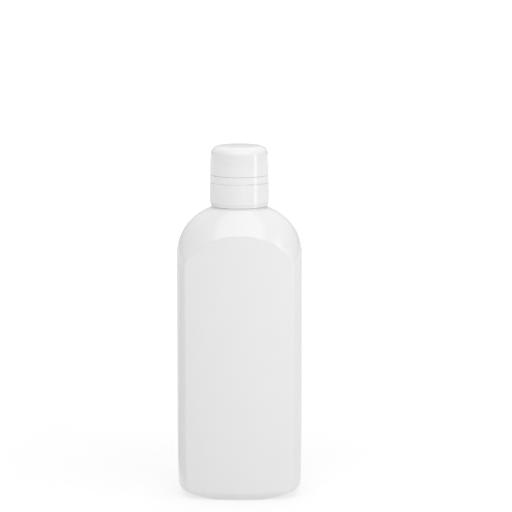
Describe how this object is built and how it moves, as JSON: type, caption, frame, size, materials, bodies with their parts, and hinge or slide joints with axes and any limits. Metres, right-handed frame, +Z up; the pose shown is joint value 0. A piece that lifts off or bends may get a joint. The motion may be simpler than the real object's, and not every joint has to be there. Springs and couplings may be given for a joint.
{
  "type": "shampoo bottle",
  "caption": "Flat oval bottle with arched label panels and a screw-on flip-top closure.",
  "frame": {"origin": "centre of the foot, on the surface the bottle stands on", "axes": "+Z up along the neck; the two label panels face -Y and +Y, the side wings face -X and +X, and the lid's hinge is at +Y"},
  "size_m": [0.061, 0.039, 0.1723],
  "materials": {
    "bottle_hdpe": "satin-gloss white blow-moulded HDPE",
    "closure_pp": "gloss white injection-moulded polypropylene",
    "liner_foam": "matt white foamed polyethylene"
  },
  "bodies": {
    "bottle": {"bottle": "bottle_hdpe"},
    "seal": {"liner": "liner_foam"},
    "closure": {"closure_base": "closure_pp", "living_hinge": "closure_pp"},
    "lid": {"lid": "closure_pp"}
  },
  "joints": [
    {"name": "closure_lift", "type": "slide", "parent": "bottle", "child": "seal", "axis": [0, 0, 1], "range_m": [0, 0.00476]},
    {"name": "closure_turn", "type": "hinge", "parent": "seal", "child": "closure", "pos_m": [0, 0, 0.14283], "axis": [0, 0, 1], "range_deg": [0, 540]},
    {"name": "lid_flip", "type": "hinge", "parent": "closure", "child": "lid", "pos_m": [0, 0.01445, 0.15793], "axis": [-1, 0, 0], "range_deg": [0, 175], "deforming": ["living_hinge"]}
  ],
  "couplings": [
    {"joint": "closure_lift", "follows": "closure_turn", "m_per_rad": 0.00050532}
  ]
}
